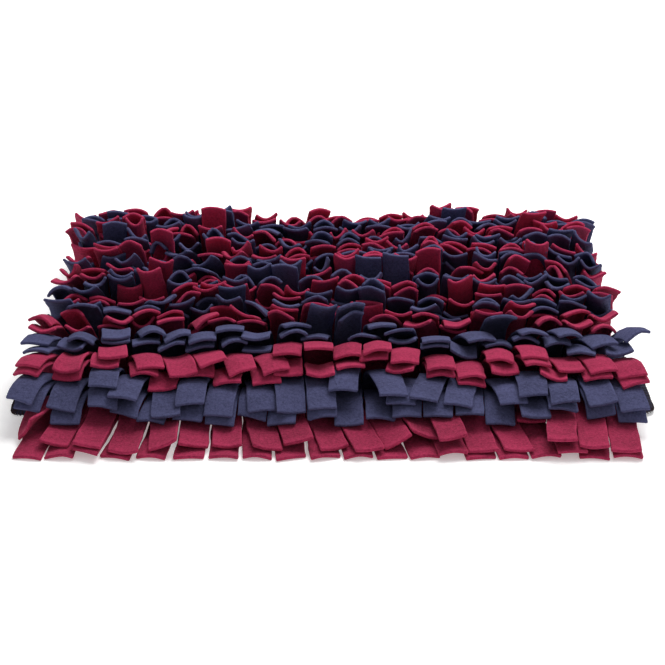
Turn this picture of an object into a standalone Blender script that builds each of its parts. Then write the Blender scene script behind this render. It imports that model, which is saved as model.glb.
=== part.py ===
"""Snuffle mat: fifteen slit fleece bands sewn in rows across a flat base cloth.

Metres and degrees, +Z up. The origin is the middle of the base's underside, X runs along the rows and the
front, where the first row lies out on the floor, faces -Y. Every row is one comb of twenty tabs that spring
from a sewn strip. The tabs are laid from the front row to the rear one, each on the tabs before it.
"""

import math
import random

import bmesh
import bpy
from mathutils import Vector
from mathutils.bvhtree import BVHTree

# Base cloth
BASE_WIDTH = 0.700
BASE_DEPTH = 0.470
BASE_THICK = 0.003
BASE_CORNER = 0.012

# Fleece bands
FLEECE_THICK = 0.003
TABS = 20
TAB_PITCH = 0.0324
SLIT = 0.0016
ROOT_INSET = 0.0005
TAB_LENGTH = 0.110
STRIP_DEPTH = 0.010
STRIP_SPANS = 8
SEAM_GAP = 0.0003
ROW_PITCH = 0.0314
FIRST_ROW = 0.020

# How the first row lies: over the base's edge, down to the floor and out along it
EDGE_CLEARANCE = 0.0024
EDGE_RUN = 0.002
SLOPE_RUN = 0.026
FLOOR_REACH = 0.100
# How far each tip of the first row strays to the right, in millimetres, from the left
FLOOR_STRAY = (-7, -8, -9, -8, -6, -3, 0, 2, 4, 6, 7, 8, 8, 7, 6, 6, 5, 4, 3, 2)

# How the tabs are laid
SEGMENTS = 3
TURN_GROWTH = 1.6
LAYING_GAP = 0.0012
SIDE_GAP = 0.0004
REACH_ROWS = 4
REACH_TABS = 2
LIFTING_TRIES = 16
STRAIGHT_BY = 7
TURNS_ASIDE = (0, 6, -6, 12, -12)
STEEPEST = 85
SEED = 18

# From the front. rise and fall are a tab's slope at its root and at its tip, in degrees above the floor,
# sway is how far it turns aside or twists, in degrees, and cup how deep it curls across, in millimetres.
ROWS = (
    # cloth, rise, fall, sway, cup
    ("maroon", 0, 0, 0, 0.0),
    ("navy", 38, -22, 8, 2.0),
    ("maroon", 50, -8, 9, 3.5),
    ("navy", 56, 3, 9, 4.0),
    ("maroon", 60, 9, 10, 6.0),
    ("navy", 63, 13, 11, 6.0),
    ("maroon", 65, 17, 13, 7.0),
    ("navy", 67, 20, 13, 7.0),
    ("maroon", 68, 22, 15, 7.0),
    ("navy", 69, 23, 15, 7.0),
    ("maroon", 70, 24, 15, 7.0),
    ("navy", 70, 24, 15, 7.0),
    ("maroon", 71, 25, 15, 7.0),
    ("navy", 72, 25, 13, 7.0),
    ("maroon", 72, 25, 13, 7.0),
)

# The rear left of the pile stands up more than the rest, and the front right lies flatter.
REAR_LEFT_LIFT = 20
FRONT_RIGHT_DROP = 5

# Tabs that stand out of the pile. Columns count from 0 at the left.
STANDING = (
    # row, column, rise, fall, turn, cup
    (5, 1, 78, 46, -20, 6.0),
    (7, 2, 82, 58, 10, 6.0),
    (7, 3, 80, 50, -16, -6.0),
    (8, 12, 84, 66, 6, 2.0),
    (8, 13, 84, 64, -6, 2.0),
    (9, 3, 80, 44, 12, -6.0),
    (9, 13, 80, 48, -24, 3.0),
    (9, 17, 82, 54, 22, 6.0),
    (10, 1, 82, 54, 18, 5.0),
    (11, 0, 82, 60, -10, 3.0),
    (11, 5, 80, 46, 4, -5.0),
    (12, 1, 82, 62, 8, -3.0),
    (13, 5, 84, 66, 4, 3.0),
    (13, 18, 76, 38, -12, -4.0),
    (15, 9, 76, 34, 22, -3.0),
)

CLOTHS = {
    # name: linear base colour
    "maroon": (0.300, 0.018, 0.060),
    "navy": (0.022, 0.028, 0.070),
    "base": (0.012, 0.012, 0.018),
}

BASE_FRONT = -BASE_DEPTH / 2
STRIP_HEIGHT = BASE_THICK + SEAM_GAP + FLEECE_THICK / 2
TAB_WIDTH = TAB_PITCH - SLIT


def clear_scene():
    """Removes whatever the scene holds."""
    for thing in list(bpy.data.objects):
        bpy.data.objects.remove(thing, do_unlink=True)


def fleece(name):
    """The cloth of that name as a matt material."""
    material = bpy.data.materials.new(name + "_fleece")
    material.use_nodes = True
    shader = material.node_tree.nodes["Principled BSDF"]
    shader.inputs["Base Color"].default_value = (*CLOTHS[name], 1.0)
    shader.inputs["Roughness"].default_value = 0.95
    return material


def new_object(name, shape, material, collection):
    """Puts the bmesh into an object of its own and frees it."""
    mesh = bpy.data.meshes.new(name)
    shape.to_mesh(mesh)
    shape.free()
    mesh.materials.append(material)
    thing = bpy.data.objects.new(name, mesh)
    collection.objects.link(thing)
    return thing


def make_base(material, collection):
    """A flat cloth with rounded corners, lying on the floor."""
    shape = bmesh.new()
    bmesh.ops.create_cube(shape, size=1.0)
    bmesh.ops.scale(shape, vec=(BASE_WIDTH, BASE_DEPTH, BASE_THICK), verts=shape.verts)
    bmesh.ops.translate(shape, vec=(0, 0, BASE_THICK / 2), verts=shape.verts)
    upright = [edge for edge in shape.edges if abs(edge.verts[0].co.z - edge.verts[1].co.z) > BASE_THICK / 2]
    bmesh.ops.bevel(shape, geom=upright, offset=BASE_CORNER, segments=4, profile=0.5, affect="EDGES")
    return new_object("base_cloth", shape, material, collection)


def row_front(row):
    """Where the front edge of a row's sewn strip lies, counting rows from 1."""
    return BASE_FRONT + FIRST_ROW + (row - 1) * ROW_PITCH - STRIP_DEPTH / 2


def tab_middle(column):
    """Where the middle of a column of tabs lies along X."""
    return (column - (TABS - 1) / 2) * TAB_PITCH


def rear_left(row, column):
    """1 at the rear left of the pile, falling smoothly to 0 by its middle and by its front."""
    across = 1 - min(1, column / (0.45 * TABS))
    along = min(1, max(0, (row - 4) / 4))
    return across * along


def front_right(row, column):
    """1 at the front right of the pile, falling to 0 by its middle and by its rear."""
    across = max(0, column / (TABS - 1) * 2 - 1)
    along = max(0, 1 - (row - 2) / 7)
    return across * along


def tab_pose(row, column, dice):
    """The slopes, turn, twist and cup that a tab would take with nothing under it."""
    _, rise, fall, sway, cup = ROWS[row - 1]
    lift = REAR_LEFT_LIFT * rear_left(row, column) - FRONT_RIGHT_DROP * front_right(row, column)
    pose = {
        "rise": rise + lift / 3 + dice.uniform(-4, 4),
        "fall": fall + lift + dice.uniform(-9, 9),
        "turn": dice.uniform(-sway, sway),
        "twist": dice.uniform(-2 * sway, 2 * sway),
        "cup": dice.choice((-1, 1)) * dice.uniform(0.3, 1) * cup / 1000,
    }
    for standing_row, standing_column, *shape in STANDING:
        if (standing_row, standing_column) == (row, column):
            pose.update(rise=shape[0], fall=shape[1], turn=shape[2], twist=0, cup=shape[3] / 1000)
    return pose


def ring(centre, along, twist, cup):
    """Three points across a tab: its middle, drawn down by the cup, and its two edges, drawn up by it."""
    level = Vector((-along.y, along.x, 0)).normalized()
    up = along.cross(level)
    side = level * math.cos(twist) + up * math.sin(twist)
    out = up * math.cos(twist) - level * math.sin(twist)
    half = side * TAB_WIDTH / 2
    return [centre - half + out * cup / 2, centre - out * cup / 2, centre + half + out * cup / 2]


def tab_rings(row, column, pose):
    """Rings of points from a tab's root to its tip: a curve whose slope goes evenly from rise to fall."""
    root = Vector((tab_middle(column), row_front(row), STRIP_HEIGHT))
    half = Vector((TAB_WIDTH / 2 - ROOT_INSET, 0, 0))
    rings = [[root - half, root + half]]
    centre = root
    step = TAB_LENGTH / SEGMENTS
    for index in range(SEGMENTS):
        share = (index + 0.5) / SEGMENTS
        slope = math.radians(pose["rise"] + (pose["fall"] - pose["rise"]) * share)
        turn = math.radians(pose["turn"]) * share * TURN_GROWTH
        level = Vector((math.sin(turn), -math.cos(turn), 0))
        along = level * math.cos(slope) + Vector((0, 0, math.sin(slope)))
        centre = centre + along * step
        grown = (index + 1) / SEGMENTS
        twist = math.radians(pose["twist"]) * grown**2
        rings.append(ring(centre, along, twist, pose["cup"] * (1 + grown) / 2))
    return rings


def floor_rings(column):
    """The first row's tabs: up over the base's edge, down to the floor and level along it to their tips."""
    level = FLEECE_THICK / 2
    path = (
        (row_front(1), STRIP_HEIGHT),
        (BASE_FRONT - EDGE_RUN, BASE_THICK + EDGE_CLEARANCE + level),
        (BASE_FRONT - SLOPE_RUN, level),
        (BASE_FRONT - FLOOR_REACH, level),
    )
    rings = []
    for index, (y, z) in enumerate(path):
        stray = FLOOR_STRAY[column] / 1000 * max(0, BASE_FRONT - y) / FLOOR_REACH
        middle = tab_middle(column) + stray
        places = (-0.5, 0.5) if index == 0 else (-0.5, 0, 0.5)
        rings.append([Vector((middle + place * TAB_WIDTH, y, z)) for place in places])
    return rings


def tab_faces(counts):
    """Triangles between rings, as (ring, place) corners: a fan from the two root points, then two strips."""
    faces = [((0, 0), (0, 1), (1, 1)), ((0, 0), (1, 1), (1, 0)), ((0, 1), (1, 2), (1, 1))]
    for index in range(1, counts - 1):
        beyond = index + 1
        for edge in (0, 2):
            outer = [(index, 1), (index, edge), (beyond, edge)]
            inner = [(index, 1), (beyond, edge), (beyond, 1)]
            faces += [outer, inner] if edge == 2 else [outer[::-1], inner[::-1]]
    return faces


def surface_normals(rings):
    """The direction square to a tab at each of its points, from the steps along and across it."""
    normals = []
    for index, points in enumerate(rings):
        before = rings[max(index - 1, 0)]
        after = rings[min(index + 1, len(rings) - 1)]
        along = (after[0] + after[-1]) - (before[0] + before[-1])
        line = []
        for place in range(len(points)):
            across = points[min(place + 1, len(points) - 1)] - points[max(place - 1, 0)]
            line.append(across.cross(along).normalized())
        normals.append(line)
    return normals


def widened(rings):
    """The rings with their end points moved outwards by half the gap that tabs keep side by side."""
    wider = []
    for line in rings:
        outwards = (line[-1] - line[0]).normalized() * SIDE_GAP / 2
        wider.append([line[0] - outwards, *line[1:-1], line[-1] + outwards])
    return wider


def fat_tab(rings):
    """A tab grown by half the gap it keeps from its neighbours, as a search tree."""
    half = (FLEECE_THICK + LAYING_GAP) / 2
    normals = surface_normals(rings)
    points = []
    places = {}
    for side in (1, -1):
        for index, line in enumerate(widened(rings)):
            for place, point in enumerate(line):
                places[side, index, place] = len(points)
                points.append(point + normals[index][place] * half * side)
    faces = []
    for side in (1, -1):
        for face in tab_faces(len(rings)):
            faces.append([places[side, *corner] for corner in face])
    for index in range(len(rings) - 1):
        for place, beyond in ((0, 0), (len(rings[index]) - 1, len(rings[index + 1]) - 1)):
            upper = [places[1, index, place], places[1, index + 1, beyond]]
            lower = [places[-1, index, place], places[-1, index + 1, beyond]]
            faces.append(upper + lower[::-1])
    last = len(rings) - 1
    for place in (0, 1):
        upper = [places[1, last, place], places[1, last, place + 1]]
        lower = [places[-1, last, place], places[-1, last, place + 1]]
        faces.append(upper + lower[::-1])
    return BVHTree.FromPolygons(points, faces)


def ground():
    """The floor and the base's top face, each let down by half the gap that tabs keep, as a search tree."""
    points = []
    for size, height in ((2, 0), (1, BASE_THICK)):
        for across, along in ((-1, -1), (1, -1), (1, 1), (-1, 1)):
            corner = (across * BASE_WIDTH * size / 2, along * BASE_DEPTH * size / 2, height - LAYING_GAP / 2)
            points.append(Vector(corner))
    return BVHTree.FromPolygons(points, [(0, 1, 2, 3), (4, 5, 6, 7)])


def neighbours(laid, row, column):
    """The ground and the tabs already laid that a tab in this place could touch."""
    yield laid["ground"]
    for other_row in range(max(1, row - REACH_ROWS), row + 1):
        for other_column in range(max(0, column - REACH_TABS), min(TABS, column + REACH_TABS + 1)):
            if (other_row, other_column) in laid:
                yield laid[other_row, other_column]


def eased_poses(pose):
    """The pose, then poses that turn it a little aside, and lift and straighten it more and more."""
    for attempt in range(LIFTING_TRIES + 1):
        lift = attempt / LIFTING_TRIES
        kept = max(0, 1 - attempt / STRAIGHT_BY)
        for aside in TURNS_ASIDE:
            yield {
                "rise": pose["rise"] + (STEEPEST - pose["rise"]) * lift,
                "fall": pose["fall"] + (STEEPEST - pose["fall"]) * lift,
                "turn": pose["turn"] * kept + aside,
                "twist": pose["twist"] * kept,
                "cup": pose["cup"] * kept,
            }


def lay_tab(row, column, dice, laid):
    """Takes the first of a tab's eased poses in which it is clear of every tab laid before it."""
    for pose in eased_poses(tab_pose(row, column, dice)):
        rings = tab_rings(row, column, pose)
        body = fat_tab(rings)
        if not any(body.overlap(other) for other in neighbours(laid, row, column)):
            laid[row, column] = body
            return rings
    raise ValueError(f"row {row} column {column}: no free place for the tab")


def strip_faces(front, rear):
    """Triangles of a strip: each span of its front edge goes to the rear point nearest to it."""
    faces = []
    held = 0
    for index in range(len(front) - 1):
        nearest = round((index + 0.5) / (len(front) - 1) * (len(rear) - 1))
        if nearest > held:
            faces.append((rear[held], front[index], rear[nearest]))
            held = nearest
        faces.append((front[index], front[index + 1], rear[held]))
    return faces


def make_row(row, combs, material, collection):
    """A sewn strip and its tabs as one open comb, thickened to the fleece."""
    shape = bmesh.new()
    front = []
    for rings in combs:
        points = [[shape.verts.new(point) for point in line] for line in rings]
        front += points[0]
        for face in tab_faces(len(rings)):
            shape.faces.new([points[index][place] for index, place in face])
    left = front[0].co.x
    right = front[-1].co.x
    rear = []
    for index in range(STRIP_SPANS + 1):
        across = left + (right - left) * index / STRIP_SPANS
        rear.append(shape.verts.new((across, row_front(row) + STRIP_DEPTH, STRIP_HEIGHT)))
    for face in strip_faces(front, rear):
        shape.faces.new(face)
    bmesh.ops.recalc_face_normals(shape, faces=shape.faces)
    comb = new_object(f"row_{row:02d}", shape, material, collection)
    thick = comb.modifiers.new("fleece", "SOLIDIFY")
    thick.thickness = FLEECE_THICK
    thick.offset = 0
    thick.use_even_offset = True
    thick.use_quality_normals = True
    return comb


def main():
    """Lays the base and the rows on it, from the front one to the rear one."""
    clear_scene()
    collection = bpy.data.collections.new("snuffle_mat")
    bpy.context.scene.collection.children.link(collection)
    cloths = {name: fleece(name) for name in CLOTHS}
    make_base(cloths["base"], collection)
    dice = random.Random(SEED)
    laid = {"ground": ground()}
    for row in range(1, len(ROWS) + 1):
        combs = []
        for column in range(TABS):
            if row == 1:
                rings = floor_rings(column)
                laid[row, column] = fat_tab(rings)
            else:
                rings = lay_tab(row, column, dice, laid)
            combs.append(rings)
        make_row(row, combs, cloths[ROWS[row - 1][0]], collection)


main()
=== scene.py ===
"""Snuffle mat: slit fleece bands, each folded into a lower and an upper layer of tabs, laid on a base cloth.

Metres and degrees, +Z up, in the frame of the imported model: the rows run along X, the front faces -Y, and the
origin is the middle of the base's underside.
"""

import math
import random

import bpy
import numpy as np
from mathutils.bvhtree import BVHTree
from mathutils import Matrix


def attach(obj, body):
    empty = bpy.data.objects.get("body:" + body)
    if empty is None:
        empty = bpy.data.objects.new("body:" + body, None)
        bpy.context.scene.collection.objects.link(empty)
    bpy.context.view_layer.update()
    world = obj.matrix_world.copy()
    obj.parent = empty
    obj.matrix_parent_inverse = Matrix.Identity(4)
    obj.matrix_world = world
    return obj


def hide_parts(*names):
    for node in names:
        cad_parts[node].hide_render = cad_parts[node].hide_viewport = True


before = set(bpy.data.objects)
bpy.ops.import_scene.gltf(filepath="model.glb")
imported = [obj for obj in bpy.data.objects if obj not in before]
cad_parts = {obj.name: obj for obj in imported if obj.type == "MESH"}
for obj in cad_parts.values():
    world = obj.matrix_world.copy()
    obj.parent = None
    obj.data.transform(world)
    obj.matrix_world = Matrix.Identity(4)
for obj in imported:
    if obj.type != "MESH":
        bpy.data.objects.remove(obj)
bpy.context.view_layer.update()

bl_info = {
    "name": "Snuffle mat",
    "version": (1, 0, 0),
    "blender": (4, 5, 0),
    "location": "View3D > Sidebar > Mat",
    "description": "Builds a snuffle mat of slit fleece bands on a base cloth, and a stage to show it on",
    "category": "Object",
}

# Rows from the front: the cloth, a tab's slope at its root and at its tip in degrees above the floor, how far
# tabs sway aside or twist in degrees, and how far they bend across in degrees.
ROWS = (
    # cloth, rise, fall, sway, bend
    ("maroon", 8, -10, 0, 12),
    ("navy", 36, -42, 5, 30),
    ("maroon", 50, -36, 5, 45),
    ("navy", 56, -26, 6, 60),
    ("maroon", 60, -12, 7, 85),
    ("navy", 62, -2, 8, 95),
    ("maroon", 63, 4, 9, 105),
    ("navy", 64, 8, 9, 110),
    ("maroon", 64, 10, 10, 115),
    ("navy", 64, 12, 10, 115),
    ("maroon", 64, 12, 10, 115),
    ("navy", 64, 12, 10, 115),
    ("maroon", 64, 12, 10, 115),
    ("navy", 62, 8, 9, 100),
    ("maroon", 60, 4, 9, 95),
)

# The first row's tabs from the left: how far the tips stray to the right in millimetres, lower and upper layer,
# how much shorter the upper tab reaches in millimetres, and how far it twists at its tip in degrees.
FIRST_ROW_TABS = (
    # lower stray, upper stray, upper short, upper twist
    (-6, -8, 34, 62),
    (-6, -14, 14, -8),
    (-16, -13, 2, -4),
    (-13, -5, 0, 3),
    (-11, 6, 6, 24),
    (-3, 2, 14, -14),
    (1, 6, 13, 0),
    (4, 10, 7, -16),
    (6, 8, 13, 16),
    (10, 17, 7, 0),
    (14, 18, 0, 0),
    (13, 19, 12, 26),
    (11, 15, 22, -20),
    (9, 12, 8, 0),
    (7, 10, 4, 5),
    (8, 14, 4, 0),
    (6, -2, 60, 0),
    (1, -11, 3, 3),
    (-5, -7, 2, -3),
    (-8, -9, 0, 4),
)
COLUMNS = len(FIRST_ROW_TABS)

# How far the second row's upper tabs stray to the right at their tips in millimetres, from the left.
SECOND_ROW_STRAY = (-9, -9, -3, -17, -6, -8, -3, 7, 6, 0, -9, 14, -8, -12, -15, 18, 0, -4, -1, 6)

# Upper tabs that stand out of the pile, by row from the front, from 1, and column from the left, from 0.
STANDING = {
    # (row, column): rise, fall, turn, bend
    (5, 1): (78, 46, -20, 90),
    (7, 2): (82, 58, 10, 90),
    (7, 3): (80, 50, -16, -90),
    (7, 12): (76, 40, -10, -100),
    (7, 14): (76, 44, -6, 110),
    (8, 11): (84, 68, -4, 30),
    (8, 12): (84, 66, -7, 30),
    (9, 3): (80, 44, 12, -90),
    (9, 13): (82, 56, -8, 80),
    (9, 16): (78, 46, 12, 110),
    (9, 17): (80, 50, 16, 110),
    (10, 1): (82, 54, 18, 80),
    (11, 0): (82, 60, -10, 50),
    (11, 5): (80, 46, 4, -90),
    (12, 1): (82, 62, 8, -50),
    (13, 5): (84, 66, 4, -50),
    (13, 18): (76, 38, -12, -70),
    (15, 9): (76, 34, 22, -60),
}

# How a tab's mesh is divided: rings along it, points across it, and the points of its cut edge and rings of its
# tip, by how far out and up each lies in half thicknesses. The search uses fewer rings and points.
RINGS = 15
ROOT_CROWDING = 1.2
PLACES = 7
FINE_PLACES = 25
CUT_EDGE = ((0.75, 0.9), (1.0, 0.0), (0.75, -0.9))
TIP_STEPS = ((0.75, 0.9), (1.0, 0.3))
TEST_PLACES = (-1, -0.5, 0, 0.5, 1)
TEST_RINGS = list(range(2, RINGS, 2))

# Where along a tab its fold ends, its curl starts and its bend across is full, how soon its turn and its lift
# are full, the share of its length by which a turn moves its tip aside, and how sharp a crease is
LOOP_SHARE = 0.11
CURL_FROM = 0.6
FULL_BEND = 0.55
TURN_RATE = 1.6
ROOT_RATE = 4
STRAY_SHARE = 0.69
CREASE_SHARPNESS = 4

# Gaps between laid things, and how the ground eases down in front of the base, in metres
LAYING_GAP = 0.0005
SIDE_GAP = 0.0003
FLOOR_GAP = 0.0001
REST_GAP = 0.0002
STRIP_GAP = 0.0003
BASE_GAP = 0.0006
ROOT_INSET = 0.001
EDGE_AHEAD = 0.001
EDGE_EASE = 0.016

# The front rows, whose tabs drape. Pairs are for the lower and the upper layer.
DRAPED_ROWS = 4
FIRST_SLOPES = ((0.0, -8.0), (4.0, -20.0))
FIRST_LONGER = (0.004, 0.020)
FIRST_BENDS = (-22, 20)
FIRST_BEND_SWING = 0.6
FIRST_BEND_PHASE = 2.1
FIRST_RAISED = 0.016
FIRST_TURNED = 1.5
FIRST_TURNS_FROM = 8
FRONT_REACH = (-0.04, 0.08)

# The rows behind them: degrees of lift, turn and twist, spans of chance, and shares of a tab's length
RAMP_ROWS = 4
REAR_LEFT_LIFT = 18
REAR_LEFT_SHARE = 0.45
FRONT_RIGHT_DROP = 5
FRONT_RIGHT_ROWS = 7
LOWER_LEAN = 7
RISE_CHANCE = 4
FALL_CHANCE = 9
TWIST_CHANCE = 1.6
CURLS = (-26, 8)
LENGTHS = (0.94, 1.02)
CREASES = (0, 0.8)
CREASE_SHIFTS = (-0.5, 0.5)
FIRST_HABITS = (-20, 20)
FLIPPED = (0.12, 0.65)
SPREAD = (0.3, 1.25)
FIELD_SPAN = 2.3
TURNED = 28
TWISTED = 30
RAISED = 9
ROW_TURN = 8
ROW_TURNS = (0.3, 1)
ROW_SHIFT = 0.007
REAR_SHIFTS = (0.007, -0.008)
HEAPED_SHORTER = 0.11
REAR_SHORTER = 0.11
SUNKEN_SHARE = (0.36, 0.12)
SUNKEN_SHORTER = 0.24
END_COLUMNS = 2
END_STRAIGHTENED = 0.8
END_SPLAY = (9, 1, -9)
LOOP_START = 150
STANDING_LOOP = 110

# The search for a tab's place
TRIES = 170
SETTLING = 9
STEEPEST = (85, 66)
LIFT_SPREAD = (0.4, 1.3)
BEND_SPREAD = (0.6, 1.1)
BENT_UNTIL = 0.7
SWAY_ASIDE = 3.5
OTHER_WAY = (0.12, 0.45)
HEIGHT_STEPS = 9
MOST_STUCK = 12
SEED = 18

# Small unevenness in metres and where on a tab it shows, the fleece's painted highlight at its tips and painted
# shade on the first row, and its pattern
EDGE_WANDER = 0.0004
FACE_SHARE = 0.7
STILL_RINGS = 3
TIP_CORNER = 0.0008
TIP_SLANT = 0.0014
SLANT_GROWTH = 5
SEAM_DIP = 0.0006
SEAM_SPREAD = 0.4
# The painted highlight at a tab's tip, against 1 on its cut edges.
TIP_HIGHLIGHT = 0.8
# The first row's tabs are darkened: painted shade, as if under the second row's overhanging tabs.
ROW_PAINTED_SHADES = {1: -3.0}
PATTERN_DRIFT = 0.37

# How the strips and the base are divided and shaped
STRIP_PLACES = 4
STRIP_RINGS = 61
BASE_GRID = (71, 49)
BORDER_CROWDING = 0.12
BORDER_WANDER = 0.0012
BORDER_WAVES = ((0.6, 23, 1), (0.4, 61, 4), (0.25, 139, 2))
SIDES_DRAWN_IN = (0.012, 0.020)
DRAWN_FROM = -0.140
DRAWN_OVER = 0.10
CORNER_LIFT = 0.004
LIFT_RAMPS = ((0.318, 0.03), (0.195, 0.04))
RIM_SHARE = 0.03
STITCH_PITCH = 0.0042
STITCH_DEPTH = 0.0045
STITCH_ARC = (90, 62, 30, 0, -32, -62)
STITCH_SLANT = 0.8
THREAD_RADIUS = 0.00055
THREAD_SUNK = 0.4
THREAD_SIDES = 5

# The pitch of ribs, threads and seam stitches in metres, half a seam's width in row pitches, and how far a seam
# reaches from the middle in metres
RIB_PITCH = 0.0016
WEAVE_PITCH = 0.0018
SEAM_STITCH_PITCH = 0.0034
SEAM_HALF_WIDTH = 0.022
SEAM_REACH = 0.324

# The stage: each light's place, target, size and power, and what the floor and the surroundings give off
LIGHTS = {
    "overhead": ((0.40, 0.62, 1.60), (0, -0.02, 0), 1.3, 35),
    "front": ((1.1, -2.5, 1.5), (0, 0, 0.05), 1.4, 5),
    "backdrop": ((0, 2.6, 2.2), (0, 2.6, 0), 2.4, 60),
}
BACKDROP_SPREAD = 90
SURROUNDINGS = 0.36
FLOOR_GLOW = 0.30
FLOOR_REACH = 8.0
FLOOR_DROP = 0.0002
WHITE = (1.0, 1.0, 1.0, 1.0)


def length_setting(name, description, default):
    """A setting in metres."""
    return bpy.props.FloatProperty(name=name, description=description, default=default, unit="LENGTH")


def colour_setting(name, description, default):
    """A colour setting."""
    return bpy.props.FloatVectorProperty(
        name=name, description=description, default=default, subtype="COLOR", size=3, min=0, max=1)


class MatSizes(bpy.types.PropertyGroup):
    """Sizes of the base cloth and the fleece bands."""

    base_width: length_setting("Base width", "The base cloth along the rows", 0.700)
    base_depth: length_setting("Base depth", "The base cloth from front to rear", 0.470)
    base_thick: length_setting("Base thickness", "How thick the base cloth is", 0.003)
    base_corner: length_setting("Base corner", "Radius of the base's corners", 0.012)
    fleece_thick: length_setting("Fleece thickness", "How thick the fleece is with its nap", 0.0034)
    tab_pitch: length_setting("Tab pitch", "From one slit of a band to the next", 0.0324)
    slit: length_setting("Slit", "Gap between two tabs at their roots", 0.0009)
    tab_length: length_setting("Tab length", "From the sewn strip to a tab's tip", 0.112)
    strip_depth: length_setting("Strip depth", "The sewn strip from front to rear", 0.010)
    row_pitch: length_setting("Row pitch", "From one row's seam to the next", 0.0314)
    first_row: length_setting("First seam", "From the base's front edge to the first seam", 0.020)


class MatColours(bpy.types.PropertyGroup):
    """Colours of the cloths."""

    maroon: colour_setting("Maroon fleece", "Colour of the odd rows", (0.320, 0.021, 0.068))
    navy: colour_setting("Navy fleece", "Colour of the even rows", (0.057, 0.060, 0.132))
    base: colour_setting("Base cloth", "Colour of the base cloth", (0.026, 0.029, 0.058))
    thread: colour_setting("Edge thread", "Colour of the thread round the base", (0.030, 0.014, 0.014))


class MatStage(bpy.types.PropertyGroup):
    """The floor and the camera."""

    floor: colour_setting("Floor", "Colour of the floor", (0.92, 0.92, 0.92))
    camera_tilt: bpy.props.FloatProperty(
        name="Camera tilt", description="How far the camera looks down", default=math.radians(24),
        subtype="ANGLE")
    camera_back: length_setting("Camera distance", "From the base's front edge to the camera, level", 1.7275)
    camera_height: length_setting("Camera height", "Above the floor", 0.868)
    lens: bpy.props.FloatProperty(
        name="Lens", description="Focal length on a 36 mm sensor, in millimetres", default=96.74)


def eased(share):
    """A share from 0 to 1 with a smooth start and end: three times its square less twice its cube."""
    return share * share * (3 - 2 * share)


def unit(vectors):
    """Vectors made one long."""
    return vectors / np.linalg.norm(vectors, axis=-1, keepdims=True)


def running_sum(steps, axis):
    """The sums of the first steps along an axis, from none of them to all."""
    none = np.zeros_like(np.take(steps, [0], axis=axis))
    return np.concatenate([none, np.cumsum(steps, axis=axis)], axis=axis)


def grid_faces(rows, columns, closed):
    """Quads of a grid of points numbered row by row, as an array of four indices each. A closed grid joins its
    last column to its first."""
    row = np.arange(rows - 1)[:, None] * columns
    column = np.arange(columns if closed else columns - 1)[None, :]
    beyond = (column + 1) % columns
    quads = np.stack([row + column, row + columns + column, row + columns + beyond, row + beyond], axis=-1)
    return quads.reshape(-1, 4)


def grid_border(rows, columns):
    """Indices of a grid's border points, once round it."""
    edge = [(row, 0) for row in range(rows)] + [(rows - 1, column) for column in range(1, columns)]
    edge += [(row, columns - 1) for row in range(rows - 2, -1, -1)]
    edge += [(0, column) for column in range(columns - 2, 0, -1)]
    return np.array([row * columns + column for row, column in edge])


def repeated(faces, step, count):
    """Faces of a shape repeated for so many shapes, whose points follow one another by a step."""
    return [[index + step * shape for index in face] for shape in range(count) for face in faces]


def new_object(name, data):
    """A new object of a mesh, lamp or camera, put into the scene."""
    thing = bpy.data.objects.new(name, data)
    bpy.context.scene.collection.objects.link(thing)
    return thing


def new_piece(name, points, faces, material, numbers=None, uv=None):
    """Puts points and faces into a smooth mesh object at the origin. numbers are float attributes by point, and
    uv is a pair of texture coordinates by point."""
    mesh = bpy.data.meshes.new(name)
    mesh.from_pydata(np.asarray(points, float).tolist(), [], faces)
    corners = np.empty(len(mesh.loops), np.int32)
    mesh.loops.foreach_get("vertex_index", corners)
    for key, values in (numbers or {}).items():
        attribute = mesh.attributes.new(key, "FLOAT", "POINT")
        attribute.data.foreach_set("value", np.asarray(values, np.float32).ravel())
    if uv is not None:
        layer = mesh.uv_layers.new(name="cloth")
        layer.data.foreach_set("uv", np.asarray(uv, np.float32)[corners].ravel())
    mesh.polygons.foreach_set("use_smooth", np.ones(len(mesh.polygons), dtype=bool))
    mesh.materials.append(material)
    mesh.update(calc_edges=True)
    piece = new_object(name, mesh)
    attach(piece, "root")
    return piece


def ring_shares():
    """Where a tab's rings lie along it, from 0 at its root to 1 at its tip, closer together near the root."""
    return np.linspace(0, 1, RINGS) ** ROOT_CROWDING


def ground_height(y, sizes):
    """Height of what a tab lies on: the base's top, easing down to the floor in front of the base's edge."""
    ahead = np.clip((-sizes.base_depth / 2 - EDGE_AHEAD - y) / EDGE_EASE, 0, 1)
    return (sizes.base_thick + BASE_GAP) * (1 - eased(ahead))


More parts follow.
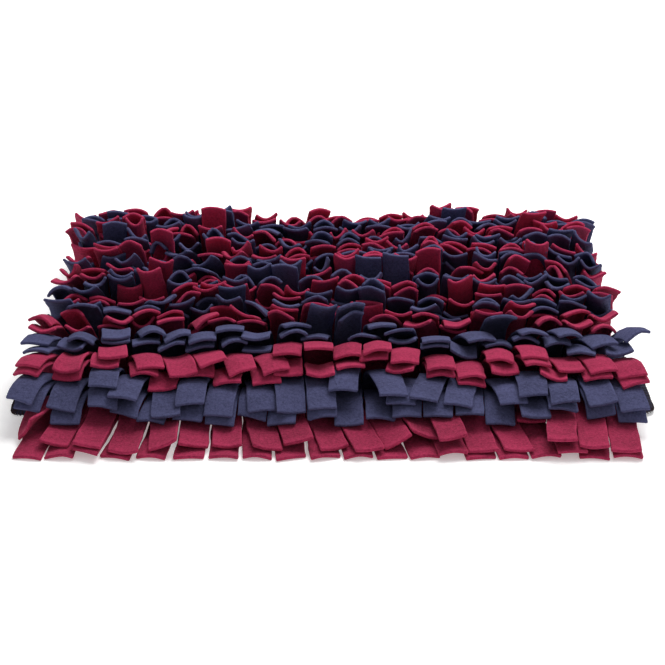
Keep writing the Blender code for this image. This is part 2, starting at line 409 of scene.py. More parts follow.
def tab_lines(pose, sizes):
    """Centre lines of tabs and the directions along, across and out of them at each ring.

    A line is the running sum of short steps. Their slope goes evenly from rise to fall, starts further back by
    loop degrees where the tab is folded over, and curls by a little more near the tip. Their heading grows from
    straight ahead to turn. A line that dips below its rest height above the ground is held up to it. Each value
    in pose is an array with one number a tab, but root, which has a point a tab.
    """
    share = ring_shares()
    middle = (share[1:] + share[:-1]) / 2
    root = np.asarray(pose["root"], float)
    pose = {key: np.asarray(value, float)[:, None] for key, value in pose.items() if key != "root"}
    folded = np.clip(1 - middle / LOOP_SHARE, 0, 1) ** 2
    curled = np.clip((middle - CURL_FROM) / (1 - CURL_FROM), 0, 1) ** 2
    slope = pose["fall"] + (pose["rise"] - pose["fall"]) * (1 - middle) + pose["loop"] * folded
    slope = np.radians(slope + pose["curl"] * curled)
    heading = np.radians(pose["turn"]) * np.minimum(1, middle * TURN_RATE)
    steps = np.stack([
        np.sin(heading) * np.cos(slope), -np.cos(heading) * np.cos(slope), np.sin(slope)], axis=-1)
    steps = steps * (np.diff(share) * pose["length"])[..., None]
    lines = running_sum(steps, 1) + root[:, None, :]
    lift = pose["rest"] * np.clip(share * ROOT_RATE, 0, 1)
    lowest = ground_height(lines[..., 1], sizes) + sizes.fleece_thick / 2 + REST_GAP + lift
    lines[:, 1:, 2] = np.maximum(lines[:, 1:, 2], lowest[:, 1:])
    along = unit(np.gradient(lines, axis=1))
    heading = np.radians(pose["turn"]) * np.minimum(1, share * TURN_RATE)
    level = np.stack([np.cos(heading), np.sin(heading), np.zeros_like(heading)], axis=-1)
    out = unit(np.cross(along, level))
    twist = (np.radians(pose["twist"]) * share**2)[..., None]
    side = level * np.cos(twist) + out * np.sin(twist)
    return lines, along, side, out * np.cos(twist) - level * np.sin(twist)


def tab_surface(pose, sizes, places):
    """Middle surface of tabs: points, and the directions along, across and out of the surface at each.

    Across, a tab is an arc: its tilt grows from minus half the bend at one edge to plus half at the other,
    evenly or, with crease, mostly near the middle, and a point is the running sum of short steps of that tilt.
    The bend grows from nothing at the root.
    """
    lines, along, side, out = tab_lines(pose, sizes)
    half = (sizes.tab_pitch - sizes.slit - sizes.fleece_thick) / 2
    grown = np.clip(ring_shares() / FULL_BEND, 0, 1)
    bend, crease, shift = (np.asarray(pose[key], float)[:, None, None] for key in ("bend", "crease", "shift"))
    bend = np.radians(bend) / 2 * eased(grown)[None, :, None]
    fine = np.linspace(-1, 1, FINE_PLACES)
    inner = (fine[1:] + fine[:-1]) / 2

    def tilt(place):
        """Tilt of the surface at a place across it, from -1 to 1."""
        return bend * ((1 - crease) * place + crease * np.tanh(CREASE_SHARPNESS * (place - shift)))

    step = half * (fine[1] - fine[0])
    spot = (np.asarray(places) + 1) / 2 * (FINE_PLACES - 1)
    low = np.clip(spot.astype(int), 0, FINE_PLACES - 2)
    part = spot - low
    profile = []
    for way in (np.cos, np.sin):
        line = running_sum(way(tilt(inner)) * step, -1)
        line -= line.mean(axis=-1, keepdims=True)
        profile.append((line[..., low] * (1 - part) + line[..., low + 1] * part)[..., None])
    side, out = side[:, :, None], out[:, :, None]
    points = lines[:, :, None] + side * profile[0] + out * profile[1]
    leaning = tilt(np.asarray(places))[..., None]
    flat = side * np.cos(leaning) + out * np.sin(leaning)
    normal = out * np.cos(leaning) - side * np.sin(leaning)
    return points, along, flat, normal


def fat_faces(rings, places):
    """Faces of a closed slab of two grids, the upper and the lower one, with its four narrow sides."""
    upper = grid_faces(rings, places, False)
    count = rings * places
    edge = grid_border(rings, places)
    after = np.roll(edge, -1)
    sides = np.stack([edge, after, after + count, edge + count], axis=-1)
    return upper.tolist() + (upper + count).tolist() + sides.tolist()


FAT_FACES = fat_faces(len(TEST_RINGS), len(TEST_PLACES))


def fat_tabs(pose, sizes):
    """Points of tabs grown by half the gaps that they keep, for the search trees."""
    points, along, flat, normal = (part[:, TEST_RINGS] for part in tab_surface(pose, sizes, TEST_PLACES))
    widen = (sizes.fleece_thick + SIDE_GAP) / 2
    points[:, :, 0] -= flat[:, :, 0] * widen
    points[:, :, -1] += flat[:, :, -1] * widen
    points[:, -1] += along[:, -1, None] * (LAYING_GAP / 2 + sizes.fleece_thick / 2)
    half = (sizes.fleece_thick + LAYING_GAP) / 2
    return np.concatenate([points + normal * half, points - normal * half], axis=1).reshape(len(points), -1, 3)


def row_front(row, sizes):
    """Where the front edge of a row's sewn strip lies, counting rows from 1."""
    return -sizes.base_depth / 2 + sizes.first_row + (row - 1) * sizes.row_pitch - sizes.strip_depth / 2


def tab_middle(column, sizes):
    """Where the middle of a column of tabs lies along X."""
    return (column - (COLUMNS - 1) / 2) * sizes.tab_pitch


def rear_left(row, column):
    """1 at the rear left of the pile, falling smoothly to 0 by its middle and by its front."""
    across = 1 - min(1, column / (REAR_LEFT_SHARE * COLUMNS))
    return across * min(1, max(0, (row - DRAPED_ROWS) / RAMP_ROWS))


def front_right(row, column):
    """1 at the front right of the pile, falling to 0 by its middle and by its rear."""
    across = max(0, column / (COLUMNS - 1) * 2 - 1)
    return across * max(0, 1 - (row - 2) / FRONT_RIGHT_ROWS)


def turn_towards(stray, length):
    """The turn in degrees that moves the tip of a tab of this length aside by so many millimetres."""
    return math.degrees(stray / 1000 / (length * STRAY_SHARE))


def first_row_pose(column, upper, sizes):
    """The pose of a tab of the first row, from its line in the table. Its bend swings with its column."""
    lower_stray, upper_stray, short, twist = FIRST_ROW_TABS[column]
    layer = int(upper)
    length = sizes.tab_length + (FIRST_LONGER[1] - short / 1000 if upper else FIRST_LONGER[0])
    rise, fall = FIRST_SLOPES[layer]
    return {
        "rise": rise,
        "fall": fall,
        "turn": turn_towards(upper_stray if upper else lower_stray, length),
        "twist": float(twist) if upper else 0.0,
        "bend": FIRST_BENDS[layer] * (1 + FIRST_BEND_SWING * math.sin(column * FIRST_BEND_PHASE + layer)),
        "curl": 0.0,
        "length": length,
        "rest": sizes.fleece_thick + LAYING_GAP + REST_GAP if upper else 0.0,
    }


def soft_field(noise, span):
    """Chance values from -1 to 1 by row and column that change smoothly: a coarse grid of them, interpolated
    along the rows and then along the columns."""
    down, aside = np.arange(len(ROWS)) / span, np.arange(COLUMNS) / span
    coarse = noise.uniform(-1, 1, (math.ceil(down[-1]) + 1, math.ceil(aside[-1]) + 1))
    wide = np.array([np.interp(aside, np.arange(coarse.shape[1]), line) for line in coarse])
    return np.array([np.interp(down, np.arange(len(coarse)), line) for line in wide.T]).T


class Pile:
    """The tabs laid so far, as search trees with the box that each lies in, and what the rows share by chance:
    each column's last bend, soft fields of turn, twist and lift, each row's turns, and its shift aside."""

    def __init__(self, dice, noise, sizes):
        self.trees, self.lows, self.highs = [], [], []
        self.stuck = 0
        self.ground = sizes.base_thick
        self.bends = [dice.uniform(*FIRST_HABITS) for _ in range(COLUMNS)]
        self.fields = [soft_field(noise, FIELD_SPAN) for _ in range(3)]
        self.row_turns = noise.uniform(*ROW_TURNS, (len(ROWS), 2)) * (-ROW_TURN, ROW_TURN)
        shifts = noise.uniform(-ROW_SHIFT, ROW_SHIFT, len(ROWS))
        self.row_shifts = np.where(np.arange(len(ROWS)) >= DRAPED_ROWS, shifts, 0)
        self.row_shifts[-len(REAR_SHIFTS):] = REAR_SHIFTS

    def add(self, tree, points):
        """Keeps a laid tab."""
        self.trees.append(tree)
        self.lows.append(points.min(axis=0))
        self.highs.append(points.max(axis=0))

    def near(self, points):
        """The trees whose boxes meet the box of the points."""
        if not self.trees:
            return []
        low, high = points.min(axis=0), points.max(axis=0)
        meets = np.all((np.array(self.lows) <= high) & (np.array(self.highs) >= low), axis=1)
        return [self.trees[index] for index in np.flatnonzero(meets)]

    def free_tree(self, body, row):
        """The search tree of a grown tab if it is clear of the ground and of every tab laid before it, else
        None."""
        if body[:, 2].min() < (0 if row == 1 else self.ground) - LAYING_GAP:
            return None
        tree = BVHTree.FromPolygons(body.tolist(), FAT_FACES)
        return None if any(tree.overlap(other) for other in self.near(body)) else tree


def followed(last, span, dice):
    """A chance bend of up to a span, which mostly goes the same way as the last one."""
    way = math.copysign(1, last)
    if dice.random() < FLIPPED[int(way > 0)]:
        way = -way
    return way * dice.uniform(*SPREAD) * span


def heaped_pose(row, column, upper, dice, pile, sizes):
    """The pose of a tab behind the first row: its row's slopes, sway and bend by chance, with the soft fields
    and the lift of its part of the pile added. Some tabs are shorter, as if sunk, and the outer columns splay."""
    _, rise, fall, sway, bend = ROWS[row - 1]
    swirl = min(1, (row - 1) / RAMP_ROWS)
    turned, twisted, raised = (field[row - 1, column] * swirl for field in pile.fields)
    lift = REAR_LEFT_LIFT * rear_left(row, column) - FRONT_RIGHT_DROP * front_right(row, column)
    lift += RAISED * raised
    under = 0 if upper else LOWER_LEAN
    share = SUNKEN_SHARE[0] + (SUNKEN_SHARE[1] - SUNKEN_SHARE[0]) * column / (COLUMNS - 1)
    sunken = dice.random() < share and DRAPED_ROWS < row < len(ROWS) - 1
    pose = {
        "rise": rise + lift / 3 - under + dice.uniform(-RISE_CHANCE, RISE_CHANCE),
        "fall": fall + lift - under + dice.uniform(-FALL_CHANCE, FALL_CHANCE),
        "turn": TURNED * turned + dice.uniform(-sway, sway) + swirl * pile.row_turns[row - 1, int(upper)],
        "twist": TWISTED * twisted + dice.uniform(-TWIST_CHANCE, TWIST_CHANCE) * sway,
        "bend": followed(pile.bends[column], bend, dice),
        "curl": dice.uniform(*CURLS),
        "rest": 0.0,
    }
    reach = dice.uniform(*LENGTHS) - HEAPED_SHORTER * min(1, max(0, row - 3) / RAMP_ROWS)
    reach -= REAR_SHORTER * max(0, row + 2 - len(ROWS)) / 2
    reach += FRONT_REACH[int(upper)] * (row <= DRAPED_ROWS) - sunken * SUNKEN_SHORTER
    pose["length"] = sizes.tab_length * reach
    if row == 2 and upper:
        pose["turn"] = turn_towards(SECOND_ROW_STRAY[column], pose["length"])
    outer = max(0, 1 - min(column, COLUMNS - 1 - column) / END_COLUMNS)
    side = -1 if column < COLUMNS / 2 else 1
    splay = END_SPLAY[0] if row <= DRAPED_ROWS else END_SPLAY[1 if side < 0 else 2]
    pose["turn"] = pose["turn"] * (1 - END_STRAIGHTENED * outer) + side * outer * splay
    return pose


def wanted_pose(row, column, upper, dice, pile, sizes):
    """The pose that a tab would take with nothing under it, and its root. Upper tabs are folded over at their
    roots, and those in the table of standing tabs take their shape from it."""
    if row == 1:
        pose = first_row_pose(column, upper, sizes)
    else:
        pose = heaped_pose(row, column, upper, dice, pile, sizes)
    pose["loop"] = LOOP_START - pose["rise"] if upper else 0.0
    pose["crease"] = dice.uniform(*CREASES)
    pose["shift"] = dice.uniform(*CREASE_SHIFTS)
    if upper and (row, column) in STANDING:
        rise, fall, turn, bend = STANDING[row, column]
        pose.update(rise=rise, fall=fall, turn=turn, twist=0.0, bend=bend, curl=0.0)
        pose["loop"] = max(0, STANDING_LOOP - rise)
    root = (tab_middle(column, sizes) + pile.row_shifts[row - 1],
            row_front(row, sizes) + (sizes.strip_depth - ROOT_INSET if upper else ROOT_INSET),
            sizes.base_thick + STRIP_GAP + sizes.fleece_thick / 2)
    return pose, root


def picked(poses, index):
    """One of some poses, or all of them in the order of an array of indices."""
    return {key: values[index] for key, values in poses.items()}


def eased_poses(pose, root, row, noise):
    """Poses near the wanted one, as arrays, with more effort from each to the next. In the first row a tab is
    raised more and turned by chance. Behind it, its root and tip are lifted by chance shares of the way to
    upright, it is turned aside and bent one way or the other, and the lowest pose comes first. With the last of
    the effort, twist and curl, and behind the first row its turn, die away."""
    effort = np.linspace(0, 1, TRIES)
    kept = np.clip((1 - effort) / (1 - BENT_UNTIL), 0, 1)
    poses = {key: np.full(TRIES, float(value)) for key, value in pose.items()}
    if row == 1:
        poses["rest"] = pose["rest"] + effort * FIRST_RAISED
        turns = noise.normal(0, FIRST_TURNED, TRIES)
        poses["turn"] = pose["turn"] + turns * np.minimum(1, effort * FIRST_TURNS_FROM)
    else:
        root_lift, tip_lift = np.clip(effort * noise.uniform(*LIFT_SPREAD, (2, TRIES)), 0, 1)
        poses["rise"] = pose["rise"] + (STEEPEST[0] - pose["rise"]) * root_lift
        poses["fall"] = pose["fall"] + (STEEPEST[1] - pose["fall"]) * tip_lift
        poses["turn"] = pose["turn"] * kept + noise.normal(0, SWAY_ASIDE, TRIES) * (effort > 0)
        sign = np.where(noise.random(TRIES) < OTHER_WAY[int(pose["bend"] > 0)], -1, 1)
        poses["bend"] = pose["bend"] * sign * noise.uniform(*BEND_SPREAD, TRIES)
    poses["twist"] = pose["twist"] * kept
    poses["curl"] = pose["curl"] * kept
    poses["root"] = np.tile(np.array(root, float), (TRIES, 1))
    if row > 1:
        reach = np.linspace(0, 1, HEIGHT_STEPS)[None, :]
        slope = poses["fall"][:, None] + (poses["rise"] - poses["fall"])[:, None] * (1 - reach)
        order = np.argsort(np.sin(np.radians(slope)).mean(axis=1), kind="stable")
        poses = picked(poses, order)
    return poses


def settled(pose, wanted, row, kept, pile, sizes):
    """Sinks a free pose in even steps towards the slopes that it wants, its tip and its root by turns, for as
    long as the tab stays clear."""
    for key in ("fall", "rise", "fall", "rise", "fall"):
        drop = max(0.0, float(pose[key] - wanted[key]))
        poses = {name: np.array([value] * SETTLING) for name, value in pose.items()}
        poses[key] = pose[key] - np.linspace(0, drop, SETTLING + 1)[1:]
        for index, body in enumerate(fat_tabs(poses, sizes)):
            tree = pile.free_tree(body, row)
            if tree is None:
                break
            pose, kept = picked(poses, index), (tree, body)
    return pose, kept


def lay_tab(row, column, upper, dice, noise, pile, sizes):
    """Takes the first of a tab's eased poses in which it is clear of every tab laid before it, and sinks it. A
    tab that finds none is counted as stuck and takes the last one."""
    wanted, root = wanted_pose(row, column, upper, dice, pile, sizes)
    poses = eased_poses(wanted, root, row, noise)
    for index, body in enumerate(fat_tabs(poses, sizes)):
        tree = pile.free_tree(body, row)
        if tree is not None:
            pose, kept = picked(poses, index), (tree, body)
            if row > 1:
                pose, kept = settled(pose, wanted, row, kept, pile, sizes)
            pile.bends[column] = pose["bend"]
            pile.add(*kept)
            return pose
    pile.stuck += 1
    return picked(poses, -1)


def section(places):
    """A flat thing's cross-section: each point's place across from -1 to 1, and how far it lies from there
    sideways and outwards in half thicknesses. It runs over the upper side, round one edge, back along the lower
    side and round the other edge."""
    line = np.linspace(-1, 1, places)
    beyond, over = np.array(CUT_EDGE).T
    ones = np.ones(len(beyond))
    across = np.concatenate([line, ones, line[::-1], -ones])
    sideways = np.concatenate([0 * line, beyond, 0 * line, -beyond])
    outwards = np.concatenate([0 * line + 1, over, 0 * line - 1, -over])
    return across, sideways, outwards


def tab_points(pose, sizes, noise):
    """Points of tabs, by tab, ring and point of the section: the section carried along the middle surface, with
    two more rings that round off the tip, and cut edges that wander by a fraction of a millimetre. A point that
    would dip below the floor rests on it."""
    across, sideways, outwards = section(PLACES)
    points, along, flat, normal = tab_surface(pose, sizes, across)
    half = sizes.fleece_thick / 2
    slant = noise.normal(0, TIP_SLANT, (len(points), 1)) * ring_shares() ** SLANT_GROWTH
    points = points + along[:, :, None] * (slant[..., None] * across)[..., None]
    rim = np.where(np.abs(across) == 1, np.sign(across), 0)
    wander = noise.normal(0, EDGE_WANDER, (len(points), RINGS, 2))
    wander[:, 1:] = (wander[:, 1:] + wander[:, :-1]) / math.sqrt(2)
    reach = sideways * half + np.abs(rim) * wander[:, :, (rim > 0).astype(int)]
    ripple = noise.normal(0, EDGE_WANDER * FACE_SHARE, (len(points), RINGS, 1))
    ripple[:, :STILL_RINGS] = 0
    rings = [points + flat * reach[..., None] + normal * (outwards * half + ripple)[..., None]]
    for ahead, kept in TIP_STEPS:
        tip = points[:, -1:] + along[:, -1:, None] * half * ahead
        inwards = sideways * half * kept - rim * TIP_CORNER * (1 - kept)
        tip = tip + flat[:, -1:] * inwards[:, None]
        rings.append(tip + normal[:, -1:] * (outwards * half * kept + ripple[:, -1:])[..., None])
    points = np.concatenate(rings, axis=1)
    points[..., 2] = np.maximum(points[..., 2], FLOOR_GAP)
    return points


def tube_faces(rings, places, count):
    """Faces of closed shapes made of rings of the section, one shape after another: quads between rings, and
    quads and two half rounds that cap the first and the last ring."""
    turn = 2 * places + len(CUT_EDGE)
    around = turn + len(CUT_EDGE)
    cap = [[i, i + 1, turn - 2 - i, turn - 1 - i] for i in range(places - 1)]
    cap.append([places - 1 + i for i in range(len(CUT_EDGE) + 2)])
    cap.append([(turn - 1 + i) % around for i in range(len(CUT_EDGE) + 2)])
    last = [[index + (rings - 1) * around for index in face[::-1]] for face in cap]
    return repeated(grid_faces(rings, around, True).tolist() + cap + last, rings * around, count)


def strip_points(row, shift, sizes):
    """Points of a row's sewn strip: the section carried along the row, drawn down a little at the seam."""
    across, sideways, outwards = section(STRIP_PLACES)
    half = sizes.fleece_thick / 2
    ends = np.linspace(-1, 1, STRIP_RINGS) * (COLUMNS * sizes.tab_pitch - sizes.slit) / 2 + shift
    middle = row_front(row, sizes) + sizes.strip_depth / 2
    y = middle - across * (sizes.strip_depth / 2 - half) - sideways * half
    sunk = np.where(outwards > 0, np.exp(-(across / SEAM_SPREAD) ** 2) * SEAM_DIP, 0)
    z = sizes.base_thick + STRIP_GAP + half + outwards * half - sunk
    return np.stack(np.broadcast_arrays(ends[:, None], y, z), axis=-1)


def make_band(row, poses, shift, material, sizes, noise):
    """One band as a piece: its tabs, lower and upper, and the strip that is sewn down. Its UV map is the cloth
    laid flat, moved on from tab to tab. rim is 1 at cut edges and marks a painted highlight there and at the tip,
    fading towards the root; tone is a tab's own random shade, with painted shade added in the first row."""
    tabs = tab_points({key: np.array([pose[key] for pose in poses]) for key in poses[0]}, sizes, noise)
    count, rings, around = tabs.shape[:3]
    strip = strip_points(row, shift, sizes)
    start = count * rings * around
    faces = tube_faces(rings, PLACES, count)
    faces += [[index + start for index in face] for face in tube_faces(STRIP_RINGS, STRIP_PLACES, 1)]
    across, sideways, _ = section(PLACES)
    share = np.concatenate([ring_shares(), [1, 1]])[:, None]
    # Painted highlight: the cut edges and the tip are lightened, less near the root.
    rim = np.maximum(np.abs(sideways), (share == 1) * TIP_HIGHLIGHT)
    rim[:-3] *= np.clip(share[:-3] * ROOT_RATE, 0, 1)
    # A tab's tone: its own random shade, plus painted shade in the first row.
    tone = noise.normal(0, 1, count)[:, None, None] + ROW_PAINTED_SHADES.get(row, 0)
    drift = np.arange(count)[:, None, None] * PATTERN_DRIFT
    u = across * (sizes.tab_pitch - sizes.slit) / 2 + drift
    v = share * sizes.tab_length + drift
    points = np.concatenate([tabs.reshape(-1, 3), strip.reshape(-1, 3)])
    numbers = {key: np.append(np.broadcast_to(values, tabs.shape[:3]), np.zeros(strip.shape[:2]))
               for key, values in (("rim", rim), ("tone", tone))}
    uv = np.stack(np.broadcast_arrays(u, v), axis=-1).reshape(-1, 2)
    uv = np.concatenate([uv, strip[..., :2].reshape(-1, 2)])
    cloth = ROWS[row - 1][0]
    piece = new_piece(f"band_{row:02d}_{cloth}", points, faces, material, numbers, uv)
    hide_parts(f"row_{row:02d}")
    return piece


def border_sway(places):
    """How far the base's border wanders, from slow waves with their place along the border as the angle."""
    return sum(height * np.sin(places * rate + start) for height, rate, start in BORDER_WAVES)


def base_outline(x, y, sizes):
    """Moves points of a plain rectangle to the base's real outline: rounded corners, the left and right edges
    drawn in behind the front corners, and a border that wanders by a millimetre."""
    half_x, half_y = sizes.base_width / 2, sizes.base_depth / 2
    over_x = np.clip((np.abs(x) - half_x + sizes.base_corner) / sizes.base_corner, 0, 1)
    over_y = np.clip((np.abs(y) - half_y + sizes.base_corner) / sizes.base_corner, 0, 1)
    longest = np.hypot(over_x, over_y)
    kept = np.where(longest > 0, np.maximum(over_x, over_y) / np.maximum(longest, 1e-9), 1)
    x = x - np.sign(x) * over_x * (1 - kept) * sizes.base_corner
    y = y - np.sign(y) * over_y * (1 - kept) * sizes.base_corner
    drawn = np.where(x < 0, -SIDES_DRAWN_IN[0], SIDES_DRAWN_IN[1])
    drawn = drawn * eased(np.clip((y - DRAWN_FROM) / DRAWN_OVER, 0, 1)) * np.abs(x / half_x) ** 3
    sway_x = BORDER_WANDER * border_sway(y) * (x / half_x) ** 9
    sway_y = BORDER_WANDER * border_sway(x + 5) * (y / half_y) ** 9
    return x - drawn - np.abs(sway_x) * np.sign(x), y - np.abs(sway_y) * np.sign(y)


def corner_lift(x, y):
    """How far the base's right front corner stands off the floor: the product of two squared ramps to it."""
    ramps = [np.clip((place - start) / over, 0, 1) ** 2 for place, (start, over) in zip((x, -y), LIFT_RAMPS)]
    return CORNER_LIFT * ramps[0] * ramps[1]


def crowded(count):
    """Even places from -1 to 1, moved a little towards both ends by a share of their sine."""
    even = np.linspace(-1, 1, count)
    return np.sin(even * math.pi / 2) * BORDER_CROWDING + even * (1 - BORDER_CROWDING)


def make_base(material, sizes):
    """The base cloth: a flat grid with a rounded border, its right front corner lifted a little. rim grows to 1
    at its border."""
    half_x, half_y, half = sizes.base_width / 2, sizes.base_depth / 2, sizes.base_thick / 2
    x, y = np.meshgrid(crowded(BASE_GRID[0]) * half_x, crowded(BASE_GRID[1]) * half_y, indexing="ij")
    x, y = base_outline(x, y, sizes)
    lift = corner_lift(x, y)
    inner = x * (1 - half / half_x), y * (1 - half / half_y)
    upper, lower, middle = (np.stack(place, axis=-1).reshape(-1, 3) for place in (
        (*inner, lift + sizes.base_thick), (*inner, lift), (x, y, lift + half)))
    edge = grid_border(*BASE_GRID)
    after = np.roll(edge, -1)
    rim = np.arange(len(edge)) + 2 * x.size
    rim_after = np.roll(rim, -1)
    quads = grid_faces(*BASE_GRID, False)
    faces = [quads, quads[:, ::-1] + x.size, np.stack([edge, rim, rim_after, after], axis=-1),
             np.stack([rim, x.size + edge, x.size + after, rim_after], axis=-1)]
    points = np.concatenate([upper, lower, middle[edge]])
    reach = np.maximum(np.abs(points[:, 0]) / half_x, np.abs(points[:, 1]) / half_y)
    numbers = {"rim": np.clip((reach - 1 + RIM_SHARE) / RIM_SHARE, 0, 1), "tone": np.zeros(len(points))}
    piece = new_piece("base_sheet", points, np.concatenate(faces).tolist(), material, numbers,
                      points[:, :2])
    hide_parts("base_cloth")
    return piece


def make_stitching(material, sizes):
    """The thread that binds the base's border: short slanted stitches, each a thin tube from the upper face
    over the edge. A tube is a small circle carried along an arc, and the arcs stand evenly along the border."""
    half_x, half_y = sizes.base_width / 2, sizes.base_depth / 2
    lengths = np.array([2 * half_x, 2 * half_y, 2 * half_x, 2 * half_y])
    total = int(lengths.sum() / STITCH_PITCH)
    place = (np.arange(total) + 0.5) / total * lengths.sum()
    stops = np.concatenate([[0], np.cumsum(lengths)])
    x = np.interp(place, stops, [-half_x, half_x, half_x, -half_x, -half_x])
    y = np.interp(place, stops, [-half_y, -half_y, half_y, half_y, -half_y])
    x, y = base_outline(x, y, sizes)
    ahead = unit(np.stack([np.roll(x, -1) - np.roll(x, 1), np.roll(y, -1) - np.roll(y, 1)], axis=-1))
    outwards = np.stack([ahead[:, 1], -ahead[:, 0]], axis=-1)
    turn = np.radians(STITCH_ARC)
    rings = len(turn)
    radius = sizes.base_thick / 2 + THREAD_RADIUS * THREAD_SUNK
    out = np.concatenate([[-STITCH_DEPTH], np.cos(turn[1:]) * radius]) - sizes.base_thick / 2
    high = np.sin(turn) * radius + sizes.base_thick / 2
    slant = np.linspace(-0.5, 0.5, rings) * STITCH_PITCH * STITCH_SLANT
    border = np.stack([x, y], axis=-1)[:, None]
    flat = border + outwards[:, None] * out[:, None] + ahead[:, None] * slant[:, None]
    lines = np.concatenate([flat, (high + corner_lift(x, y)[:, None])[..., None]], axis=-1)
    along = unit(np.gradient(lines, axis=1))
    side = np.concatenate([ahead, np.zeros((total, 1))], axis=-1)[:, None] + 0 * along
    side = unit(side - along * (side * along).sum(axis=-1, keepdims=True))
    up = np.cross(along, side)
    around = (np.arange(THREAD_SIDES) / THREAD_SIDES * 2 * math.pi)[:, None]
    points = lines[:, :, None] + THREAD_RADIUS * (
        side[:, :, None] * np.cos(around) + up[:, :, None] * np.sin(around))
    points[..., 2] = np.maximum(points[..., 2], FLOOR_GAP)
    cap = list(range(THREAD_SIDES))
    faces = grid_faces(rings, THREAD_SIDES, True)[:, ::-1].tolist()
    faces += [cap[::-1], [(rings - 1) * THREAD_SIDES + index for index in cap]]
    step = rings * THREAD_SIDES
    tone = np.repeat(np.sin(np.arange(total) * 1.7) * 0.7, step)
    return new_piece("edge_stitching", points.reshape(-1, 3), repeated(faces, step, total), material,
                     {"tone": tone})


class Nodes:
    """Adds nodes to a node tree and links them."""

    def __init__(self, tree):
        self.tree = tree

    def add(self, kind, **settings):
        """A new node with the settings that are its own attributes."""
        node = self.tree.nodes.new(kind)
        for key, value in settings.items():
            setattr(node, key, value)
        return node

    def put(self, value, socket):
        """Links a socket to an input, or sets the input to a plain value."""
        if isinstance(value, bpy.types.NodeSocket):
            self.tree.links.new(value, socket)
        else:
            socket.default_value = value

    def fill(self, node, inputs):
        """Links or sets a node's inputs by their names."""
        for name, value in inputs.items():
            self.put(value, node.inputs[name])

    def math(self, operation, *values, clamp=False):
        """The result of a Math node."""
        node = self.add("ShaderNodeMath", operation=operation, use_clamp=clamp)
        for value, socket in zip(values, node.inputs):
            self.put(value, socket)
        return node.outputs[0]

    def place(self):
        """The place of a point in its object."""
        return self.add("ShaderNodeTexCoord").outputs["Object"]

    def parts(self, vector):
        """The three numbers of a vector."""
        node = self.add("ShaderNodeSeparateXYZ")
        self.put(vector, node.inputs[0])
        return tuple(node.outputs)

    def number(self, name):
        """The value of a float attribute of the piece."""
        return self.add("ShaderNodeAttribute", attribute_name=name).outputs["Fac"]

    def noise(self, vector, scale, detail, roughness=0.5):
        """The even value of a Noise Texture."""
        node = self.add("ShaderNodeTexNoise")
        self.fill(node, {"Vector": vector, "Scale": scale, "Detail": detail, "Roughness": roughness})
        return node.outputs["Fac"]

    def wave(self, place, pitch):
        """The sine of a place, with one wave in each pitch."""
        return self.math("SINE", self.math("MULTIPLY", place, 2 * math.pi / pitch))

    def about_middle(self, pattern, gain, value):
        """A value plus a gain times how far a pattern lies above its middle, 0.5."""
        return self.math("MULTIPLY_ADD", self.math("SUBTRACT", pattern, 0.5), gain, value)

    def mix(self, factor, first, second):
        """A mix of two colours."""
        node = self.add("ShaderNodeMix", data_type="RGBA")
        self.put(factor, node.inputs[0])
        self.put(first, node.inputs[6])
        self.put(second, node.inputs[7])
        return node.outputs[2]

    def bump(self, height, strength, distance):
        """The normal of a Bump node."""
        node = self.add("ShaderNodeBump")
        self.fill(node, {"Height": height, "Strength": strength, "Distance": distance})
        return node.outputs["Normal"]


def nap_group():
    """A node group for napped fleece: fine fibres, small clumps, soft clouds and faint ribs along the cloth,
    each added with its gain to a value that goes from Deep at 0 to Lit at 1. A tab's tone, which holds painted
    shade in the first row, and a painted highlight on the cut edges and tips, from rim, are added too."""
    tree = bpy.data.node_groups.new("fleece_nap", "ShaderNodeTree")
    for name, kind, direction in (
            ("Lit", "NodeSocketColor", "INPUT"), ("Deep", "NodeSocketColor", "INPUT"),
            ("Speckle", "NodeSocketFloat", "INPUT"),
            ("Colour", "NodeSocketColor", "OUTPUT"), ("Normal", "NodeSocketVector", "OUTPUT")):
        tree.interface.new_socket(name=name, in_out=direction, socket_type=kind)
    nodes = Nodes(tree)
    given = nodes.add("NodeGroupInput")
    result = nodes.add("NodeGroupOutput")
    place = nodes.place()
    fibres = nodes.noise(place, 1100, 3, 0.7)
    clumps = nodes.noise(place, 330, 3, 0.6)
    clouds = nodes.noise(place, 26, 2)
    along = nodes.parts(nodes.add("ShaderNodeUVMap", uv_map="cloth").outputs["UV"])[0]
    ribs = nodes.wave(along, RIB_PITCH)
    value = nodes.about_middle(fibres, given.outputs["Speckle"], 0.56)
    value = nodes.about_middle(clumps, 1.5, value)
    value = nodes.about_middle(clouds, 0.5, value)
    value = nodes.math("MULTIPLY_ADD", ribs, 0.055, value)
    # A tab's tone: its own random shade, and in the first row painted shade.
    value = nodes.math("MULTIPLY_ADD", nodes.number("tone"), 0.06, value)
    # Painted highlight on the cut edges and tips.
    value = nodes.math("MULTIPLY_ADD", nodes.number("rim"), 0.35, value, clamp=True)
    colour = nodes.mix(value, given.outputs["Deep"], given.outputs["Lit"])
    height = nodes.math("MULTIPLY_ADD", clumps, 0.9, nodes.math("MULTIPLY", fibres, 0.5))
    height = nodes.math("MULTIPLY_ADD", ribs, 0.03, height)
    nodes.fill(result, {"Colour": colour, "Normal": nodes.bump(height, 1.0, 0.0012)})
    return tree


def principled(name):
    """A new material, its node tree and its shader."""
    material = bpy.data.materials.new(name)
    material.use_nodes = True
    return material, Nodes(material.node_tree), material.node_tree.nodes["Principled BSDF"]


def tinted(colour, gain, lift=0.0):
    """A colour made lighter or darker, as four numbers."""
    return (*[min(1.0, part * gain + lift) for part in colour], 1.0)


